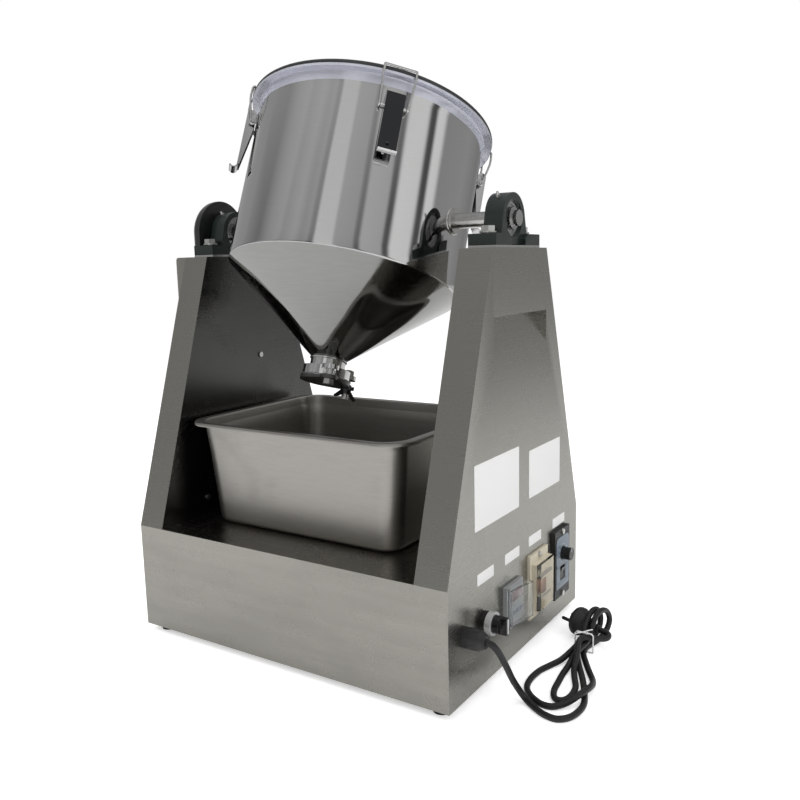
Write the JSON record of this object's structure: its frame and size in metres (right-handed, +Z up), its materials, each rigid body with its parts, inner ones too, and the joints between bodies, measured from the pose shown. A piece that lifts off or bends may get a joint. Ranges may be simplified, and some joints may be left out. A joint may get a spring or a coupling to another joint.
{
  "type": "powder mixer",
  "caption": "Bench-top tilting powder mixer: a latched drum with a conical bottom and outlet gate turns between two sheet-metal towers above a collecting tray.",
  "frame": {"origin": "on the floor below the middle of the frame, between the four feet", "axes": "+X along the drum's shaft to the control side, +Y to the back, +Z up"},
  "size_m": [0.6536, 0.4105, 0.7787],
  "materials": {
    "sheet_steel": "brushed stainless sheet",
    "polished_steel": "mirror-polished stainless",
    "turned_steel": "turned steel",
    "lid_steel": "dark satin stainless",
    "tray_steel": "satin stainless",
    "cast_green": "dark green enamel on a casting",
    "zinc": "bright zinc-plated fasteners",
    "dark_steel": "dark worn steel",
    "bearing_steel": "ground steel",
    "guard_black": "black enamel",
    "black_plastic": "black plastic",
    "knob_black": "glossy black plastic",
    "selector_chrome": "chromed ring",
    "timer_black": "dark grey plastic",
    "clear_plastic": "clear plastic",
    "relay_beige": "beige plastic",
    "relay_clear": "clear plastic, slightly yellowed",
    "gearbox_grey": "grey enamel on a casting",
    "motor_paint": "dark blue-grey enamel",
    "belt_rubber": "black rubber",
    "foot_rubber": "black rubber",
    "cord_rubber": "black flexible sheath",
    "tie_white": "white plastic-covered wire",
    "gasket_white": "white silicone",
    "capacitor_alu": "drawn aluminium can"
  },
  "bodies": {
    "frame": {"base_shell": "sheet_steel", "left_tower": "sheet_steel", "right_tower": "sheet_steel", "left_side_cover": "sheet_steel", "right_side_cover": "sheet_steel", "bottom_plate": "sheet_steel", "feet": "foot_rubber", "drive_cover": "sheet_steel", "belt_guard": "guard_black", "packing_plates": "turned_steel", "bearing_housings": "cast_green", "bearing_outer_rings": "bearing_steel", "bearing_bolts": "zinc", "grease_nipples": "zinc", "gearbox": "gearbox_grey", "motor": "motor_paint", "motor_bracket": "sheet_steel", "drive_belt": "belt_rubber", "terminal_block": "black_plastic", "capacitor": "capacitor_alu", "selector_bezel": "selector_chrome", "timer": "timer_black", "relay": "relay_beige", "relay_cover": "relay_clear", "speed_controller": "black_plastic", "panel_screws": "zinc", "cable_gland": "black_plastic", "cord_lead": "cord_rubber", "cord_hank": "cord_rubber", "cord_tie": "tie_white", "plug": "black_plastic"},
    "drum": {"drum_shell": "polished_steel", "stub_shafts": "turned_steel", "trunnion_collars": "turned_steel", "bearing_inner_rings": "bearing_steel", "drum_pulley": "gearbox_grey", "latch_brackets": "turned_steel", "outlet_ferrule": "turned_steel", "gate_fasteners": "turned_steel", "gate_gasket": "gasket_white"},
    "drive_output": {"output_shaft": "turned_steel", "motor_pulley": "gearbox_grey"},
    "lid": {"lid": "lid_steel", "lid_gasket": "gasket_white", "lid_handle": "turned_steel"},
    "front_lever": {"front_lever": "turned_steel"},
    "front_bail": {"front_bail": "turned_steel"},
    "right_lever": {"right_lever": "turned_steel"},
    "right_bail": {"right_bail": "turned_steel"},
    "rear_lever": {"rear_lever": "turned_steel"},
    "rear_bail": {"rear_bail": "turned_steel"},
    "left_lever": {"left_lever": "turned_steel"},
    "left_bail": {"left_bail": "turned_steel"},
    "outlet_gate": {"outlet_gate": "dark_steel"},
    "wing_nut": {"wing_nut": "knob_black"},
    "selector_knob": {"selector_knob": "knob_black"},
    "speed_knob": {"speed_knob": "knob_black"},
    "run_rocker": {"run_rocker": "knob_black"},
    "timer_cover": {"timer_cover": "clear_plastic"},
    "tray": {"tray": "tray_steel"}
  },
  "joints": [
    {"name": "drum_spin", "type": "hinge", "parent": "frame", "child": "drum", "pos_m": [0, 0, 0.5773], "axis": [1, 0, 0], "continuous": true},
    {"name": "drive_output_spin", "type": "hinge", "parent": "frame", "child": "drive_output", "pos_m": [-0.26, 0, 0.088], "axis": [1, 0, 0], "continuous": true},
    {"name": "lid_lift", "type": "slide", "parent": "drum", "child": "lid", "axis": [0, 0.3584, 0.9336], "range_m": [0, 0.03]},
    {"name": "front_lever_swing", "type": "hinge", "parent": "drum", "child": "front_lever", "pos_m": [0.11809, -0.06867, 0.72791], "axis": [-0.7071, -0.6601, 0.2534], "range_deg": [0, 80.1]},
    {"name": "front_bail_swing", "type": "hinge", "parent": "front_lever", "child": "front_bail", "pos_m": [0.11632, -0.07168, 0.71514], "axis": [-0.7071, -0.6601, 0.2534], "range_deg": [-145.1, 0]},
    {"name": "right_lever_swing", "type": "hinge", "parent": "drum", "child": "right_lever", "pos_m": [0.11809, 0.15181, 0.64328], "axis": [0.7071, -0.6601, 0.2534], "range_deg": [0, 80.1]},
    {"name": "right_bail_swing", "type": "hinge", "parent": "right_lever", "child": "right_bail", "pos_m": [0.11632, 0.1455, 0.63177], "axis": [0.7071, -0.6601, 0.2534], "range_deg": [-145.1, 0]},
    {"name": "rear_lever_swing", "type": "hinge", "parent": "drum", "child": "rear_lever", "pos_m": [-0.11809, 0.15181, 0.64328], "axis": [0.7071, 0.6601, -0.2534], "range_deg": [0, 80.1]},
    {"name": "rear_bail_swing", "type": "hinge", "parent": "rear_lever", "child": "rear_bail", "pos_m": [-0.11632, 0.1455, 0.63177], "axis": [0.7071, 0.6601, -0.2534], "range_deg": [-145.1, 0]},
    {"name": "left_lever_swing", "type": "hinge", "parent": "drum", "child": "left_lever", "pos_m": [-0.11809, -0.06867, 0.72791], "axis": [-0.7071, 0.6601, -0.2534], "range_deg": [0, 80.1]},
    {"name": "left_bail_swing", "type": "hinge", "parent": "left_lever", "child": "left_bail", "pos_m": [-0.11632, -0.07168, 0.71514], "axis": [-0.7071, 0.6601, -0.2534], "range_deg": [-145.1, 0]},
    {"name": "gate_swing", "type": "hinge", "parent": "drum", "child": "outlet_gate", "pos_m": [0.02758, -0.1053, 0.37993], "axis": [0, 0.3584, 0.9336], "range_deg": [0, 100]},
    {"name": "wing_nut_turn", "type": "hinge", "parent": "drum", "child": "wing_nut", "pos_m": [0.01009, -0.04726, 0.34908], "axis": [0, 0.3584, 0.9336], "range_deg": [0, 360]},
    {"name": "selector_turn", "type": "hinge", "parent": "frame", "child": "selector_knob", "pos_m": [0.27, -0.109, 0.091], "axis": [1, 0, 0], "range_deg": [-45, 45]},
    {"name": "speed_turn", "type": "hinge", "parent": "frame", "child": "speed_knob", "pos_m": [0.265, 0.128, 0.106], "axis": [1, 0, 0], "range_deg": [-150, 150]},
    {"name": "rocker_tip", "type": "hinge", "parent": "frame", "child": "run_rocker", "pos_m": [0.256, 0.128, 0.077], "axis": [0, -1, 0], "range_deg": [0, 16]},
    {"name": "timer_cover_swing", "type": "hinge", "parent": "frame", "child": "timer_cover", "pos_m": [0.2628, -0.0535, 0.088], "axis": [0, 0, -1], "range_deg": [-11, 95]},
    {"name": "tray_slide", "type": "slide", "parent": "frame", "child": "tray", "axis": [0, -1, 0], "range_m": [0, 0.25]}
  ],
  "couplings": [
    {"joint": "drive_output_spin", "follows": "drum_spin", "ratio": 1.5946},
    {"joint": "front_lever_swing", "follows": "lid_lift", "rad_per_m": 46.542},
    {"joint": "front_bail_swing", "follows": "lid_lift", "rad_per_m": -84.358},
    {"joint": "right_lever_swing", "follows": "lid_lift", "rad_per_m": 46.542},
    {"joint": "right_bail_swing", "follows": "lid_lift", "rad_per_m": -84.358},
    {"joint": "rear_lever_swing", "follows": "lid_lift", "rad_per_m": 46.542},
    {"joint": "rear_bail_swing", "follows": "lid_lift", "rad_per_m": -84.358},
    {"joint": "left_lever_swing", "follows": "lid_lift", "rad_per_m": 46.542},
    {"joint": "left_bail_swing", "follows": "lid_lift", "rad_per_m": -84.358}
  ]
}
